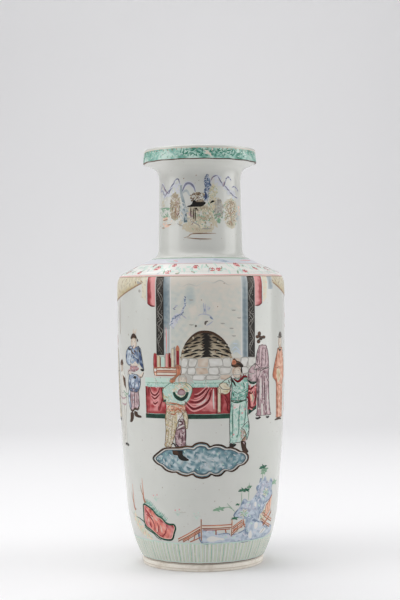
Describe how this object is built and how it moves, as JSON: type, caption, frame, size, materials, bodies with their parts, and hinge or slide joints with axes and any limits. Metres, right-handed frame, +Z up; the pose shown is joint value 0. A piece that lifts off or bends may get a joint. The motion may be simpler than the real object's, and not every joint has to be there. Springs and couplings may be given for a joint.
{
  "type": "rouleau vase",
  "caption": "Tall cylindrical porcelain vase with sloping shoulder, straight neck and dished mouth, standing on a turned foot ring, for flowers or display.",
  "frame": {"origin": "centre of the foot ring's resting face, on the table", "axes": "+Z up along the axis of the vase, -Y towards the front of the decoration, +X to its right"},
  "size_m": [0.1836, 0.1836, 0.45],
  "materials": {
    "glazed_porcelain": "glossy clear glaze over white porcelain, faintly blue-grey",
    "biscuit": "unglazed fired body, matt and slightly rough, cream with iron stains",
    "slip": "fired slip under a thin glaze",
    "turquoise_enamel": "opaque glossy overglaze enamel",
    "rose_enamel": "opaque glossy overglaze enamel",
    "blue_enamel": "translucent glossy overglaze enamel",
    "iron_red_enamel": "thin satin overglaze enamel",
    "yellow_enamel": "opaque glossy overglaze enamel",
    "aubergine_enamel": "translucent glossy overglaze enamel",
    "dark_enamel": "thin matt black-brown overglaze enamel",
    "green_enamel": "dark glossy overglaze enamel",
    "brown_enamel": "thin satin overglaze enamel",
    "flesh_enamel": "pale opaque overglaze enamel",
    "white_enamel": "opaque glossy overglaze enamel",
    "grey_wash": "thin translucent overglaze wash"
  },
  "bodies": {
    "root": {"foot_ring": "biscuit", "base_disc": "glazed_porcelain", "base_slip_seam": "slip", "lower_body": "glazed_porcelain", "body_slip_seam": "slip", "upper_body": "glazed_porcelain", "shoulder_slip_seam": "slip", "shoulder": "glazed_porcelain", "neck_slip_seam": "slip", "neck": "glazed_porcelain", "mouth_slip_seam": "slip", "mouth": "glazed_porcelain"}
  },
  "joints": []
}
